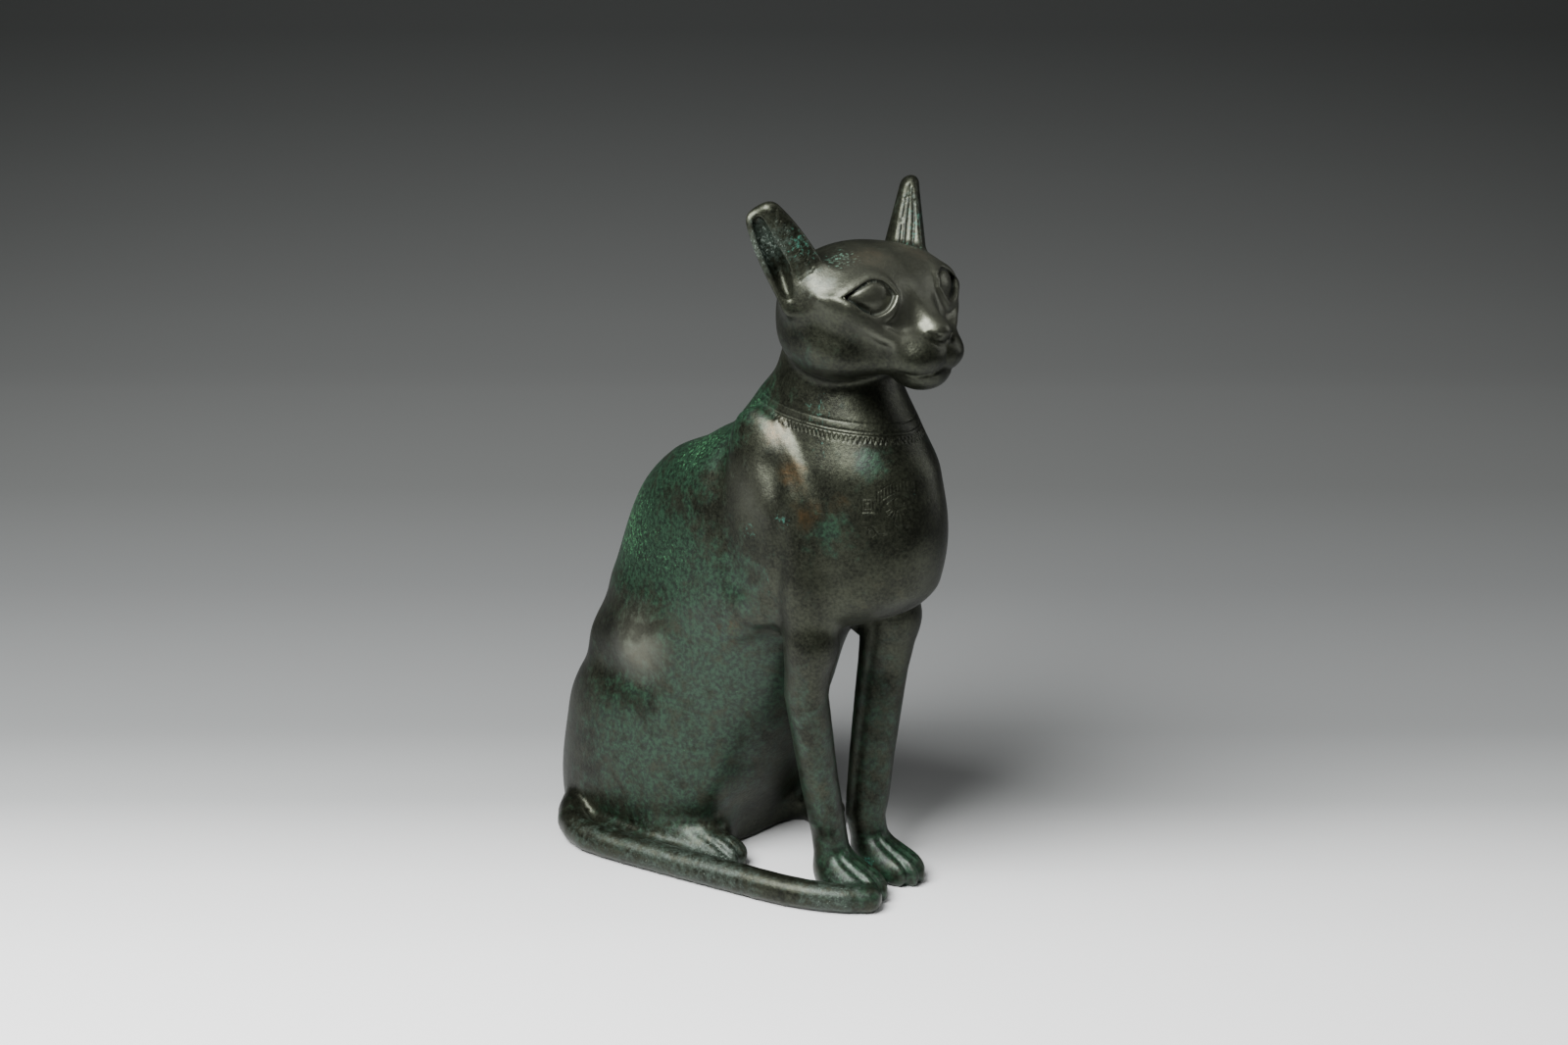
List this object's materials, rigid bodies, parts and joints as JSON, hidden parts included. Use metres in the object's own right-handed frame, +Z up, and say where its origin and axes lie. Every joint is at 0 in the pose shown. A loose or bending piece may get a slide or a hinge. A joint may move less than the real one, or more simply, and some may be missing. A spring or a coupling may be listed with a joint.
{
  "type": "ancient egyptian bronze seated cat figure",
  "caption": "Votive figure of a seated cat in patinated hollow-cast bronze, tail curled round to the front paw, flat underside, stands free on a shelf or plinth.",
  "frame": {"origin": "centre of the bounding box in plan, on the flat underside", "axes": "+Z up, the cat faces -Y, and its left side is +X; the tail lies along its right side"},
  "size_m": [0.127, 0.2248, 0.32],
  "materials": {
    "patinated_bronze": "dark olive-brown bronze with green patina, softly polished on the raised forms"
  },
  "bodies": {
    "root": {"cat_figure": "patinated_bronze"}
  },
  "joints": []
}
